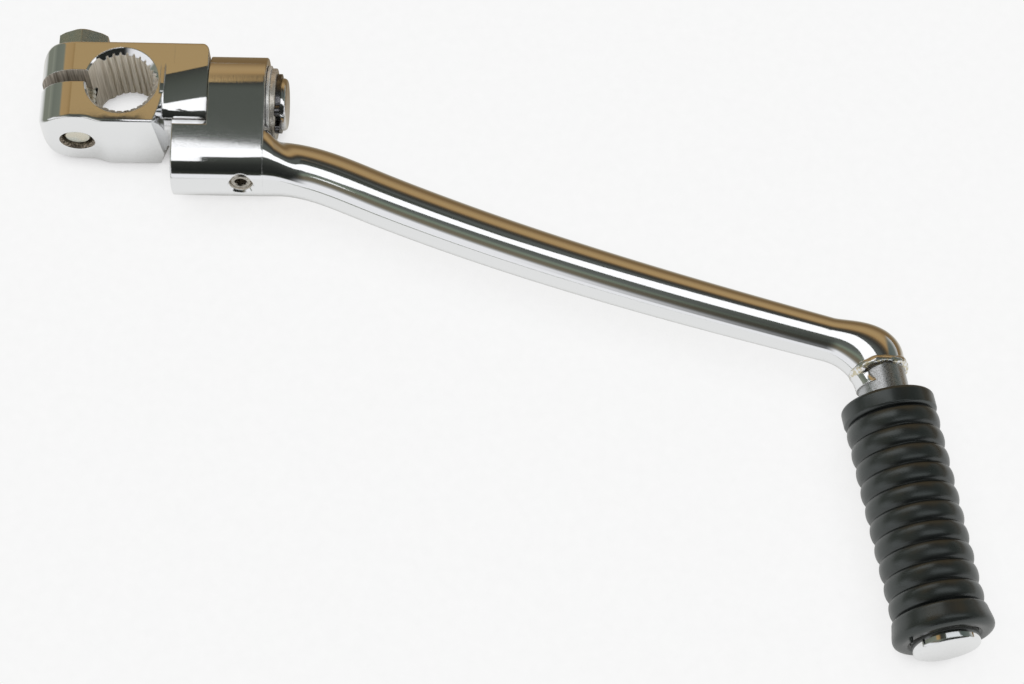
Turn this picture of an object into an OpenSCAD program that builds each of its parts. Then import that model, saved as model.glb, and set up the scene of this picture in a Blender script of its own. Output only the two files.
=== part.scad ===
// Kick start lever with a folding arm, lying flat and folded.
// The origin is the centre of the splined clamp bore, on the pivot line.
// +Z runs along the bore, +X along the pivot towards the arm, and the peg
// points to -Y. All sizes are millimetres.

/* [Clamp boss] */
// Thickness of the clamp boss along the kick shaft
boss_thick = 23.8; // [21:0.1:28]
// Distance from the bore axis to the face under the bolt head
boss_rear = 11.8; // [11:0.1:15]
// Distance from the bore axis to the face on the peg side
boss_front = 12.4; // [11.8:0.1:15]
// How far the peg side steps back along the split ears
ear_step = 1.2; // [0:0.1:2.4]
// Distance from the bore axis to the split end
boss_end = 22.4; // [20:0.1:28]
// Radius that rolls the split end over, seen from the side
end_roll = 10; // [3:0.5:11]
// Plan radius of the two corners at the split end
end_corner = 4; // [1:0.5:6]
// Width of the split
split_gap = 3.4; // [1:0.1:5]
// Offset of the split towards the bolt head
split_shift = 1.2; // [-2:0.1:3]

/* [Spline bore] */
// Radius over the lands between the serrations
land_r = 8.35; // [7:0.05:9]
// Depth of each serration groove
groove_deep = 0.7; // [0.3:0.05:1]
// Width of each serration groove at its mouth
groove_wide = 0.8; // [0.4:0.05:1]
// Number of serrations in a full turn
serrations = 30; // [24:1:36]
// Half angle of the plain relief beside the split
relief_half = 46; // [30:1:60]
// Radius of the plain relief beside the split
relief_r = 9.4; // [9:0.1:10]
// Size of the chamfer at both mouths of the bore
mouth_chamfer = 1.1; // [0.4:0.1:1.6]

/* [Pinch bolt] */
// Radius of the bolt shank
bolt_r = 4; // [3:0.5:5]
// Distance from the bore axis to the bolt axis
bolt_out = 12.5; // [12:0.1:14]
// Height of the bolt axis above the middle of the boss
bolt_lift = -1.4; // [-3:0.1:3]
// Width of the hexagon head across its flats
head_flats = 13; // [10:0.5:17]
// Height of the hexagon head
head_high = 5.4; // [4:0.1:8]
// Thickness of the spring washer under the head
lock_thick = 1.8; // [1:0.1:2.2]
// How far the bolt end stays below the face of the threaded ear
bolt_recess = 1.1; // [0:0.1:4]

/* [Folding pivot] */
// Radius of the pivot journal inside the arm
journal_r = 8; // [7:0.1:9]
// Radius of the stub that carries the washers
stub_r = 7; // [6:0.1:7.5]
// Distance from the bore axis to the shoulder that the arm runs against
shoulder = 13.7; // [13:0.1:16]
// Distance from the bore axis to the end of the stop tongue
tongue_end = 22.8; // [18:0.1:26]
// Angle of the stop edge of the tongue on the peg side, from +Y
tongue_front = 138; // [120:1:150]
// Angle of the stop edge of the tongue on the bolt head side, from +Y
tongue_rear = 22; // [10:1:40]
// Swing of the arm from folded to open, in degrees
swing = 90; // [70:5:100]
// Radial clearance of the arm on the journal
journal_fit = 0.04; // [0.02:0.01:0.1]

/* [Arm hub] */
// Distance from the bore axis to the outer face of the hub
hub_end = 38.1; // [34:0.1:44]
// Radius of the hub round the pivot
hub_r = 12.4; // [11.5:0.1:14]
// Radius of the lobe where the arm leaves the hub
lobe_r = 9.6; // [8:0.1:11]
// Distance from the pivot to the middle of the lobe
lobe_drop = 16.8; // [14:0.1:20]

/* [Arm] */
// Distance from the bore axis to the elbow, along the pivot line
arm_reach = 198; // [150:1:240]
// Distance from the pivot line to the elbow
arm_drop = 69.1; // [40:0.5:100]
// Diameter of the bar where it leaves the hub
bar_d = 14.1; // [12:0.1:17]
// Diameter of the bar where it meets the elbow
bar_end_d = 11.6; // [9:0.1:14]
// Slope of the bar at the first bend, in degrees
bend_slope = 22.3; // [16:0.1:28]
// Slope of the bar at the elbow, in degrees
elbow_slope = 15.3; // [5:0.1:25]
// Extra metal on the outside corner of the elbow
elbow_bulk = 4.3; // [1:0.1:6]
// Radius of the inner fillet of the elbow
elbow_fillet = 11.5; // [6:0.5:16]

/* [Foot peg] */
// Radius of the bare neck of the peg
neck_r = 6.5; // [5.5:0.1:8]
// Lean of the peg away from the bore side, in degrees
peg_lean = 11; // [0:0.5:20]
// Distance from the elbow corner to the start of the rubber
rubber_start = 14.4; // [13:0.1:20]
// Length of the rubber sleeve
rubber_long = 64.4; // [50:0.1:80]
// Outer radius of the ribs
rib_r = 12; // [10:0.1:14]
// Number of ribs
ribs = 10; // [6:1:12]
// Outer radius of the thick collar at the free end
collar_r = 13; // [12:0.1:15]
// Radius of the disc head that keeps the rubber on
disc_r = 8.6; // [7:0.1:10]
// How far the disc head stands out of the rubber
disc_proud = 2.8; // [0.5:0.1:4]

/* [Detent] */
// Distance from the bore axis to the detent plug screw
detent_x = 32.3; // [28:0.1:34]
// Tilt of the plug screw above the plane of the arm, in degrees
detent_tilt = 7; // [0:1:15]
// Radius of the detent ball
ball_r = 3; // [2:0.25:3]
// Travel of the ball between its track and its end pockets
ball_travel = 0.6; // [0.3:0.1:1]

/* [Hidden] */
$fn = 72;
half = boss_thick / 2;
step_x = -7.5;
hub_start = shoulder + 0.06;
notch_end = tongue_end + 0.3;
stop_gap = 0.4;
shim_thick = 0.9;
washer_thick = 1.45;
shim_r = hub_r - 2.1;
washer_r = hub_r - 2.8;
clip_thick = 1.2;
play = 0.05;
shim_x = hub_end + play;
washer_x = shim_x + shim_thick;
clip_x = washer_x + washer_thick + play;
stub_end = clip_x + clip_thick + 1.6;
clip_angle = 147;
clip_groove_r = stub_r - 0.65;
ear_face = boss_front - ear_step;
bolt_axis_x = -bolt_out;

peg_heading = -90 + peg_lean;
peg_u = [cos(peg_heading), sin(peg_heading)];
bar_u = [cos(-elbow_slope), sin(-elbow_slope)];
corner = [arm_reach, -arm_drop];
bar_end_r = bar_end_d / 2;
toe_r = neck_r + 0.5;
near_bar = bar_end_r + elbow_fillet;
near_peg = toe_r + elbow_fillet;
turn = -elbow_slope - peg_heading;
side_bar = [bar_u[1], -bar_u[0]];
side_peg = [peg_u[1], -peg_u[0]];
mix_bar = (near_bar - near_peg * cos(turn)) / pow(sin(turn), 2);
mix_peg = (near_peg - near_bar * cos(turn)) / pow(sin(turn), 2);
fillet_mid = corner + mix_bar * side_bar + mix_peg * side_peg;
bar_stop = fillet_mid - near_bar * side_bar;

root_x = hub_end + 2.8;
root_gain = lobe_r - 0.15 - bar_d / 2;
bend_x = hub_end + 32;
bend_y = -lobe_drop - 11.6;
seat = 5.2;
spigot_r = 4.5;
disc_thick = 4.3;
pin_r = 5.9;
rubber_end = rubber_start + rubber_long;
peg_end = rubber_end + disc_proud;
head_seat = peg_end - disc_thick;
near_collar = 5.2;
end_collar = 7;
rib_pitch = (rubber_long - near_collar - end_collar) / ribs;
rib_round = rib_pitch / 2;
rib_floor = rib_r - 1.25;

pocket_r = ball_r + 0.05;
track_at = journal_r + ball_r - 0.55;
plug_r = 3;
plug_long = 6;
lobe_face = lobe_drop + lobe_r;
plug_out = lobe_face - 1.1;
plug_in = plug_out - plug_long;
spring_wire = 0.7;
spring_r = 1.8;
spring_from = track_at + sqrt(ball_r * ball_r - spring_r * spring_r) + spring_wire * 0.6;
spring_to = plug_in - spring_wire / 2;
spring_turns = 4;

// A quarter disc in the corner between +X and +Y.
module quarter_disc(r) {
    intersection() {
        circle(r = r);
        square(r + 1);
    }
}

// A rectangle from (x0, y0) to (x1, y1).
module box2(x0, y0, x1, y1) {
    translate([x0, y0]) square([x1 - x0, y1 - y0]);
}

// A cylinder along +X from x0 to x1.
module rod_x(r, x0, x1) {
    translate([x0, 0, 0]) rotate([0, 90, 0]) cylinder(r = r, h = x1 - x0);
}

// Places children so that their +Z is the pivot and their +X is the given angle from +Y.
module round_pivot(angle, x0) {
    translate([x0, 0, 0]) rotate([angle, 0, 0]) rotate([90, 0, 90]) children();
}

// A sector of a ring round the pivot between two angles, less than half a turn.
module pivot_sector(a0, a1, r, x0, x1) {
    translate([x0, 0, 0]) rotate([90, 0, 90]) linear_extrude(x1 - x0)
        polygon(concat([[0, 0]], [for (i = [0 : 6]) r * [cos(a0 + (a1 - a0) * i / 6), sin(a0 + (a1 - a0) * i / 6)]]));
}

// Plan of the boss: flat rear, and a front that steps back in an S along the ears.
module boss_plan() {
    intersection() {
        polygon(concat(
            [[-boss_end, boss_rear], [-boss_end, -ear_face], [step_x - 2.5, -ear_face]],
            [for (i = [1 : 9]) [step_x - 2.5 + i * 0.6, -ear_face - ear_step * (1 - cos(18 * i)) / 2]],
            [[step_x + 3.5, -boss_front], [shoulder, -boss_front], [shoulder, boss_rear]]));
        union() {
            box2(-boss_end + end_corner, -boss_front - 1, shoulder, boss_rear + 1);
            box2(-boss_end, -ear_face + end_corner, -boss_end + end_corner, boss_rear - end_corner);
            translate([-boss_end + end_corner, boss_rear - end_corner]) rotate(90) quarter_disc(end_corner);
            translate([-boss_end + end_corner, -ear_face + end_corner]) rotate(180) quarter_disc(end_corner);
        }
    }
}

// Side view of the boss: both edges of the split end roll over.
module boss_side() {
    box2(-boss_end + end_roll, -half, shoulder, half);
    box2(-boss_end, -half + end_roll, -boss_end + end_roll, half - end_roll);
    translate([-boss_end + end_roll, half - end_roll]) rotate(90) quarter_disc(end_roll);
    translate([-boss_end + end_roll, end_roll - half]) rotate(180) quarter_disc(end_roll);
}

// Metal that the boss loses beside the arm: its upper corner is ground back to a
// cone round the pivot, and a shallow groove runs down the peg side, on a slant.
module neck_relief() {
    neck = half - 0.15;
    foot = shoulder - 2.3;
    hollow = 5;
    sunk = 1.8;
    middle = shoulder - 3.95 + sqrt(hollow * hollow - pow(hollow - sunk, 2));
    intersection() {
        round_pivot(0, 0) rotate_extrude()
            polygon([[neck, foot], [24, foot - (24 - neck) * 0.485], [24, shoulder + 1], [neck, shoulder + 1]]);
        translate([0, -30, 0]) cube([40, 30, 30]);
    }
    translate([middle, -boss_front - hollow + sunk, 0]) rotate([0, -5, 0])
        cylinder(r = hollow, h = boss_thick + 10, center = true);
}

// The stop tongue: square at the back, rolled round the pivot at the front.
module stop_tongue() {
    start = shoulder - 3.4;
    bend = 2.7;
    intersection() {
        translate([start, 0, 0]) rotate([90, 0, 90]) linear_extrude(tongue_end - start) {
            box2(0, 0, boss_rear, half);
            rotate(90) quarter_disc(half);
        }
        linear_extrude(half + 1) {
            box2(start, -half - 1, tongue_end - bend, boss_rear);
            box2(start, -half - 1, tongue_end, boss_rear - bend);
            translate([tongue_end - bend, boss_rear - bend]) quarter_disc(bend);
        }
        union() {
            pivot_sector(tongue_rear, 90, 22, start - 1, tongue_end + 1);
            pivot_sector(90, tongue_front, 22, start - 1, tongue_end + 1);
        }
    }
}

// Serration grooves, left out of the relief beside the split.
module serration_grooves() {
    pitch = 360 / serrations;
    last = floor((180 - relief_half - pitch / 2) / pitch);
    for (i = [-last : last])
        rotate(i * pitch) translate([0, 0, -half]) linear_extrude(boss_thick)
            polygon([[land_r - 1, -groove_wide / 2], [land_r, -groove_wide / 2],
                [land_r + groove_deep, -groove_wide / 4], [land_r + groove_deep, groove_wide / 4],
                [land_r, groove_wide / 2], [land_r - 1, groove_wide / 2]]);
}

// Plain relief of the bore on the side of the split.
module bore_relief() {
    reach = relief_r + 3;
    intersection() {
        cylinder(r = relief_r, h = boss_thick + 1, center = true);
        linear_extrude(boss_thick + 2, center = true)
            polygon([[0, 0], reach * [-cos(relief_half), sin(relief_half)], [-reach, reach * 0.6],
                [-reach, -reach * 0.6], reach * [-cos(relief_half), -sin(relief_half)]]);
    }
}

module clamp_boss() {
    color("Silver") difference() {
        union() {
            difference() {
                intersection() {
                    linear_extrude(boss_thick + 1, center = true) boss_plan();
                    rotate([90, 0, 0]) linear_extrude(40, center = true) boss_side();
                }
                neck_relief();
            }
            stop_tongue();
            rod_x(journal_r, shoulder - 1, hub_end);
            rod_x(stub_r, hub_end - 1, stub_end - 0.6);
            translate([stub_end - 0.6, 0, 0]) rotate([0, 90, 0]) cylinder(r1 = stub_r, r2 = stub_r - 0.6, h = 0.6);
        }
        cylinder(r = land_r, h = boss_thick + 2, center = true);
        serration_grooves();
        bore_relief();
        for (s = [0, 180]) rotate([s, 0, 0]) translate([0, 0, half - mouth_chamfer - 0.4])
            cylinder(r1 = relief_r - 1, r2 = relief_r - 1 + mouth_chamfer + 0.8, h = mouth_chamfer + 0.8);
        translate([-boss_end - 1, split_shift - split_gap / 2, -half - 1])
            cube([boss_end + 1 - land_r * 0.8, split_gap, boss_thick + 2]);
        translate([bolt_axis_x, 0, bolt_lift]) rotate([90, 0, 0]) {
            cylinder(r = bolt_r + 0.05, h = boss_front + 5);
            translate([0, 0, -boss_rear - 5]) cylinder(r = bolt_r + 0.3, h = boss_rear + 5);
            translate([0, 0, ear_face - 0.4]) cylinder(r1 = bolt_r, r2 = bolt_r + 1, h = 1);
        }
        translate([clip_x, 0, 0]) rotate([0, 90, 0]) difference() {
            cylinder(r = stub_r + 2, h = clip_thick);
            translate([0, 0, -1]) cylinder(r = clip_groove_r, h = clip_thick + 2);
        }
        translate([detent_x, 0, 0]) rotate([0, 90, 0]) rotate_extrude()
            translate([track_at, 0]) circle(r = pocket_r);
        for (a = [180 - detent_tilt, 180 - detent_tilt + swing]) translate([detent_x, 0, 0])
            rotate([a, 0, 0]) translate([0, track_at - ball_travel, 0]) sphere(r = pocket_r);
    }
}

// Pinch bolt: hexagon head with a domed chamfer, plain shank, chamfered end.
module pinch_bolt() {
    color("DarkGray") translate([bolt_axis_x, boss_rear, bolt_lift]) rotate([90, 0, 0]) {
        long = boss_rear + ear_face - bolt_recess;
        crown = -lock_thick - head_high;
        translate([0, 0, -lock_thick]) cylinder(r = bolt_r, h = long + lock_thick - 0.7);
        translate([0, 0, long - 0.7]) cylinder(r1 = bolt_r, r2 = bolt_r - 0.7, h = 0.7);
        intersection() {
            translate([0, 0, crown]) rotate(90) cylinder(r = head_flats / 2 / cos(30), h = head_high, $fn = 6);
            union() {
                translate([0, 0, crown]) cylinder(r1 = head_flats / 2 - 0.3, r2 = head_flats / 2 + 2.7, h = 1.5);
                translate([0, 0, crown + 1.5]) cylinder(r = head_flats / 2 + 2.7, h = head_high - 1.5);
            }
        }
    }
}

// Spring washer under the head: a square-section ring with a slanted split.
module spring_washer() {
    color("Gray") translate([bolt_axis_x, boss_rear + lock_thick, bolt_lift]) rotate([90, 0, 0]) difference() {
        cylinder(r = head_flats / 2 + 0.4, h = lock_thick);
        translate([0, 0, -1]) cylinder(r = bolt_r + 0.15, h = lock_thick + 2);
        rotate(200) translate([bolt_r - 1, 0, lock_thick / 2]) rotate([35, 0, 0])
            translate([0, -0.4, -3]) cube([6, 0.8, 6]);
    }
}

// Centre line of the bar between two points, as a cubic in x.
function cubic(t, y0, s0, y1, s1, span) =
    y0 * (1 + 2 * t) * pow(1 - t, 2) + s0 * span * t * pow(1 - t, 2)
    + y1 * t * t * (3 - 2 * t) - s1 * span * t * t * (1 - t);
function smooth(t) = t <= 0 ? 0 : t >= 1 ? 1 : t * t * (3 - 2 * t);
function line_y(x) = x < root_x ? -lobe_drop - root_gain * smooth((x - hub_end + 0.6) / 3.4)
    : x < bend_x ? cubic((x - root_x) / (bend_x - root_x),
        -lobe_drop - root_gain, 0, bend_y, -tan(bend_slope), bend_x - root_x)
    : cubic((x - bend_x) / (bar_stop[0] - bend_x),
        bend_y, -tan(bend_slope), bar_stop[1], -tan(elbow_slope), bar_stop[0] - bend_x);
function line_slope(x) = x < root_x + 0.1 ? 0 : atan((line_y(x + 0.05) - line_y(x - 0.05)) / 0.1);
function bar_radius(x) = bar_d / 2
    - (bar_d - bar_end_d) / 2 * pow(max(0, x - hub_end - 7) / (bar_stop[0] - hub_end - 7), 1.6);
// Swelling of the bar towards the lobe, which runs out over a length past the hub.
function swell(x, over) = root_gain * (1 - smooth((x - hub_end + 0.6) / over));

// Stations of the bar and then of the elbow: middle, heading, radius in the
// plane of the arm, and radius across it.
bar_x = concat([hub_end - 12, hub_end - 4], [for (i = [0 : 8]) hub_end - 0.6 + i * 0.425],
    [for (i = [1 : 9]) root_x + (bend_x - root_x) * i / 9],
    [for (i = [1 : 12]) bend_x + (bar_stop[0] - bend_x) * i / 12]);
bar_rings = [for (x = bar_x)
    [[x, line_y(x)], line_slope(x), bar_radius(x) + swell(x, 3.4), bar_radius(x) + swell(x, 10)]];
bend_steps = 14;
function bulk(t) = elbow_bulk * pow(sin(180 * pow(t, 1.3)), 1.2);
function outer_reach(t) = (1 - t) * (near_bar + bar_end_r) + t * (near_peg + toe_r - 2.2) + bulk(t);
elbow_rings = [for (i = [1 : bend_steps]) let (t = i / bend_steps, h = -elbow_slope - turn * t,
        out = [-sin(h), cos(h)], reach = outer_reach(t))
    [fillet_mid + out * (elbow_fillet + reach) / 2, h, (reach - elbow_fillet) / 2,
        bar_end_r + (toe_r - 0.8 - bar_end_r) * smooth(t * 1.4)]];

// Closed skin over a list of oval stations, with a fan of triangles over each end.
module skin(rings, sides) {
    n = len(rings);
    last = n - 1;
    points = concat(
        [for (r = rings) for (k = [0 : sides - 1]) let (a = 360 * k / sides)
            [r[0][0] - sin(r[1]) * r[2] * cos(a), r[0][1] + cos(r[1]) * r[2] * cos(a), r[3] * sin(a)]],
        [[rings[0][0][0], rings[0][0][1], 0], [rings[last][0][0], rings[last][0][1], 0]]);
    walls = [for (i = [0 : n - 2]) for (k = [0 : sides - 1]) let (m = (k + 1) % sides)
        each [[i * sides + m, i * sides + k, (i + 1) * sides + m],
            [(i + 1) * sides + m, i * sides + k, (i + 1) * sides + k]]];
    fans = [for (k = [0 : sides - 1]) let (m = (k + 1) % sides)
        each [[k, m, n * sides], [last * sides + m, last * sides + k, n * sides + 1]]];
    polyhedron(points, concat(walls, fans), convexity = 6);
}

// Side view of the hub: the round end and the lobe joined by their tangents.
module hub_section() {
    lift = asin((hub_r - lobe_r) / lobe_drop);
    touch = [-sin(lift), cos(lift)];
    round_end = (hub_r - 0.02) * touch;
    lobe_end = [-lobe_drop, 0] + (lobe_r - 0.02) * touch;
    circle(r = hub_r);
    translate([-lobe_drop, 0]) circle(r = lobe_r);
    polygon([round_end, lobe_end, [lobe_end[0], -lobe_end[1]], [round_end[0], -round_end[1]]]);
}

// Places children at a distance along the peg axis, with +Z towards its free end.
module on_peg(along) {
    translate([corner[0] + peg_u[0] * along, corner[1] + peg_u[1] * along, 0])
        rotate([0, 0, peg_lean]) rotate([90, 0, 0]) children();
}

// Places children on the plug axis, with +Z away from the pivot.
module on_plug(along) {
    translate([detent_x, 0, 0]) rotate([-detent_tilt, 0, 0]) translate([0, -along, 0]) rotate([90, 0, 0]) children();
}

module kick_arm() {
    color("Silver") difference() {
        union() {
            translate([hub_start, 0, 0]) rotate([90, 0, 90]) linear_extrude(hub_end - hub_start) hub_section();
            skin(concat(bar_rings, elbow_rings), 44);
            on_peg(seat + 0.2) rotate_extrude() translate([neck_r - 0.2, 0]) circle(r = 1.2, $fn = 24);
        }
        rod_x(journal_r + journal_fit, hub_start - 1, hub_end + 1);
        rod_x(shim_r + 0.4, hub_end, stub_end + 3);
        union() {
            reach = 24;
            pivot_sector(tongue_rear - swing - stop_gap, 0, reach, hub_start - 1, notch_end);
            pivot_sector(0, 90, reach, hub_start - 1, notch_end);
            pivot_sector(90, tongue_front + stop_gap, reach, hub_start - 1, notch_end);
        }
        on_plug(0) cylinder(r = ball_r + 0.06, h = plug_in - 1);
        on_plug(plug_in - 1) cylinder(r = plug_r, h = 20);
        on_plug(lobe_face - 0.5) cylinder(r1 = plug_r, r2 = plug_r + 0.9, h = 0.9);
        on_peg(seat) cylinder(r = neck_r, h = 30);
        on_peg(-3) cylinder(r = spigot_r, h = 12);
    }
}

// Foot peg: spigot in the elbow, bare neck, thinner pin and disc head.
module foot_peg() {
    color("Silver") {
        on_peg(-3) cylinder(r = spigot_r, h = seat + 4);
        on_peg(seat) cylinder(r = neck_r, h = rubber_start - seat);
        on_peg(rubber_start - 1) cylinder(r = pin_r, h = head_seat - rubber_start + 2);
        on_peg(head_seat) rotate_extrude() {
            box2(0, 0, disc_r, disc_thick - 0.8);
            box2(0, disc_thick - 0.8, disc_r - 0.8, disc_thick);
            translate([disc_r - 0.8, disc_thick - 0.8]) quarter_disc(0.8);
        }
    }
}

// Rubber sleeve: plain collar, rounded ribs, thick collar that swells towards its rounded end.
module peg_rubber() {
    color("DimGray") difference() {
        on_peg(rubber_start) union() {
            rotate_extrude() difference() {
                union() {
                    box2(0, 1.2, rib_r + 0.1, near_collar - 0.4);
                    box2(0, 0, rib_r - 1.1, 1.2);
                    translate([rib_r - 1.1, 1.2]) rotate(-90) quarter_disc(1.2);
                    box2(0, near_collar - 1, rib_floor, rubber_long - end_collar + 1);
                    for (i = [0 : ribs - 1])
                        translate([rib_r - rib_round, near_collar + (i + 0.5) * rib_pitch]) circle(r = rib_round);
                    polygon([[0, rubber_long - end_collar], [rib_r + 0.1, rubber_long - end_collar],
                        [rib_r + 0.4, rubber_long - end_collar + 1.5], [collar_r, rubber_long - 2.8],
                        [collar_r, rubber_long - 1.7], [collar_r - 0.5, rubber_long - 0.6],
                        [collar_r - 1.6, rubber_long], [0, rubber_long]]);
                }
                box2(-2 * collar_r, -1, 0, rubber_long + 1);
            }
            rotate(212) translate([collar_r - 1.8, 0, rubber_long - 1]) cylinder(r = 0.5, h = 2.2, $fn = 16);
        }
        on_peg(rubber_start - 1) cylinder(r = pin_r, h = rubber_long + 2);
        on_peg(head_seat) cylinder(r = disc_r, h = 20);
    }
}

module flat_ring(inner, outer, thick, x0) {
    translate([x0, 0, 0]) rotate([0, 90, 0]) difference() {
        cylinder(r = outer, h = thick);
        translate([0, 0, -1]) cylinder(r = inner, h = thick + 2);
    }
}

module shim_washer() {
    color("Gainsboro") flat_ring(stub_r + 0.1, shim_r, shim_thick, shim_x);
}

module thrust_washer() {
    color("Gray") flat_ring(stub_r + 0.1, washer_r, washer_thick, washer_x);
}

// Circlip: an open ring in the stub groove with two drilled ears at its gap.
module circlip() {
    ear = clip_groove_r + 2.2;
    color("SlateGray") round_pivot(clip_angle, clip_x) difference() {
        union() {
            translate([-0.35, 0, 0]) cylinder(r = clip_groove_r + 1.6, h = clip_thick);
            for (s = [-1, 1]) rotate(s * 17) translate([ear, 0, 0]) cylinder(r = 1.6, h = clip_thick, $fn = 40);
        }
        translate([0, 0, -1]) cylinder(r = clip_groove_r, h = clip_thick + 2);
        translate([0, 0, -1]) linear_extrude(clip_thick + 2) polygon([[0, 0], [14, -2.2], [14, 2.2]]);
        for (s = [-1, 1]) rotate(s * 17) translate([ear + 0.1, 0, -1]) cylinder(r = 0.7, h = clip_thick + 2, $fn = 24);
    }
}

module detent_ball() {
    color("LightGray") on_plug(track_at) sphere(r = ball_r);
}

// Coil spring built from half turns, each tilted to climb half a pitch.
module detent_spring() {
    rise = (spring_to - spring_from) / (2 * spring_turns);
    tilt = atan(rise / (2 * spring_r));
    color("DarkSlateGray") on_plug(spring_from) for (i = [0 : 2 * spring_turns - 1])
        translate([0, 0, (i + 0.5) * rise]) rotate([0, 0, i * 180]) rotate([0, tilt, 0])
            rotate_extrude(angle = 180, $fn = 40) translate([spring_r / cos(tilt), 0]) circle(r = spring_wire / 2, $fn = 16);
}

// Detent plug: a socket set screw sunk in the lobe.
module detent_plug() {
    color("Gray") difference() {
        union() {
            on_plug(plug_in) cylinder(r = plug_r, h = plug_long - 0.5);
            on_plug(plug_out - 0.5) cylinder(r1 = plug_r, r2 = plug_r - 0.5, h = 0.5);
        }
        on_plug(plug_out - 3) cylinder(r = 1.5 / cos(30), h = 5, $fn = 6);
    }
}

clamp_boss();
pinch_bolt();
spring_washer();
kick_arm();
foot_peg();
peg_rubber();
shim_washer();
thrust_washer();
circlip();
detent_ball();
detent_spring();
detent_plug();
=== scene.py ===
import bpy
import bmesh
import math
from mathutils import Matrix, Vector


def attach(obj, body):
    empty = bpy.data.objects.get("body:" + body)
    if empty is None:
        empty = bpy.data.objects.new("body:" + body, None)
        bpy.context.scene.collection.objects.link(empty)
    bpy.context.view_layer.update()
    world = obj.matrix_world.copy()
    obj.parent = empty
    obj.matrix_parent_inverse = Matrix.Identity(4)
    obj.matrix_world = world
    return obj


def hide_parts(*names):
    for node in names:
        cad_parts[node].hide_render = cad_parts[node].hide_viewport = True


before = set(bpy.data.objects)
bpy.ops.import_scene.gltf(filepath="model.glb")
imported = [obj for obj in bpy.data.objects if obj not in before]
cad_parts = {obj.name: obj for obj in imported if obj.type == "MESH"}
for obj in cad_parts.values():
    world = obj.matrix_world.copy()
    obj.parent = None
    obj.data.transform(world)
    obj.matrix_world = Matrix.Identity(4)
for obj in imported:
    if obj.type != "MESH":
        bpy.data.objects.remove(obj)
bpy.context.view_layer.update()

# Camera. The lever lies flat on white paper and is seen from its peg side,
# from well above and three quarters of a metre away. The pose comes from the
# hub, the bore, the bolt head and the peg in the photograph.
cam_data = bpy.data.cameras.new("camera")
cam_data.lens, cam_data.sensor_width = 100.1, 36.0
cam_data.clip_start, cam_data.clip_end = 0.01, 50.0
camera = bpy.data.objects.new("camera", cam_data)
bpy.context.scene.collection.objects.link(camera)
bpy.context.scene.camera = camera
stand = Vector((0.107134, -0.363018, 0.673570))
tip, heading, roll = math.radians(66.362), math.radians(-0.501), math.radians(0.583)
look = Vector((math.sin(heading) * math.cos(tip),
               math.cos(heading) * math.cos(tip),
               -math.sin(tip)))
level = Vector((math.cos(heading), -math.sin(heading), 0.0))
raised = level.cross(look)
side = level * math.cos(roll) + raised * math.sin(roll)
top = raised * math.cos(roll) - level * math.sin(roll)
camera.matrix_world = Matrix((
    (side.x, top.x, -look.x, stand.x),
    (side.y, top.y, -look.y, stand.y),
    (side.z, top.z, -look.z, stand.z),
    (0.0, 0.0, 0.0, 1.0)))
bpy.context.scene.view_settings.view_transform = "Standard"


# Paper, cards and studio. The lever lies on matt white paper in plain, even
# light. Cards above it and the far end of the table, which only the plate
# sees, give the tan, dark and white bands of the real one.
def linear(code):
    """An sRGB hex colour as the four linear numbers of a colour socket."""
    parts = [int(code[i:i + 2], 16) / 255 for i in (1, 3, 5)]
    return [c / 12.92 if c <= 0.04045 else ((c + 0.055) / 1.055) ** 2.4 for c in parts] + [1.0]


def add(tree, kind, settings=None, **sockets):
    """Adds a shader node with its settings and links.

    The setting "stops" holds a ramp's colours as pairs of place and sRGB hex.
    A socket goes by its name, or by its number as i0 or i6. It takes a value,
    an output, or a node, which stands for its first output in use.
    """
    node = tree.nodes.new(kind)
    for name, value in (settings or {}).items():
        if name != "stops":
            setattr(node, name, value)
            continue
        bar = node.color_ramp.elements
        while len(bar) > 1:
            bar.remove(bar[-1])
        for k, (place, code) in enumerate(value):
            spot = bar[0] if k == 0 else bar.new(place)
            spot.position = place
            spot.color = linear(code)
    for name, value in sockets.items():
        key = int(name[1:]) if name[0] == "i" and name[1:].isdigit() else name.replace("_", " ")
        if isinstance(value, bpy.types.Node):
            value = next(out for out in value.outputs if out.enabled)
        if isinstance(value, bpy.types.NodeSocket):
            tree.links.new(value, node.inputs[key])
        else:
            node.inputs[key].default_value = value
    return node


def new_material(name):
    """A material and its node tree, still empty."""
    mat = bpy.data.materials.new(name)
    mat.use_nodes = True
    mat.node_tree.nodes.clear()
    return mat, mat.node_tree


def mesh_object(name, points, faces):
    """A mesh object from points in millimetres, with its faces turned outwards."""
    data = bpy.data.meshes.new(name)
    data.from_pydata([(x / 1000, y / 1000, z / 1000) for x, y, z in points], [], faces)
    work = bmesh.new()
    work.from_mesh(data)
    bmesh.ops.recalc_face_normals(work, faces=work.faces)
    work.to_mesh(data)
    work.free()
    obj = bpy.data.objects.new(name, data)
    bpy.context.scene.collection.objects.link(obj)
    return obj


def coat(obj, *mats):
    """Gives an object its materials, in the order that its faces count them."""
    obj.data.materials.clear()
    for mat in mats:
        obj.data.materials.append(mat)


def card(name, height, outline, colour, strength):
    """A level card of light that only a polished surface sees."""
    obj = mesh_object(name, [(x, y, height) for x, y in outline], [list(range(len(outline)))])
    mat, tree = new_material(name)
    glow = add(tree, "ShaderNodeEmission", Color=linear(colour), Strength=strength)
    add(tree, "ShaderNodeOutputMaterial", Surface=glow)
    coat(obj, mat)
    obj.visible_camera = obj.visible_diffuse = obj.visible_shadow = False


# The lever rests on its hub and on the thick collar at the end of its peg, so
# the paper falls a little towards the peg.
paper_z, paper_fall = -12.47, math.tan(math.radians(0.24))
sheet = ((-900, -900), (1100, -900), (1100, 900), (-900, 900))
paper = mesh_object("paper", [(x, y, paper_z + paper_fall * y) for x, y in sheet], [(0, 1, 2, 3)])

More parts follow.
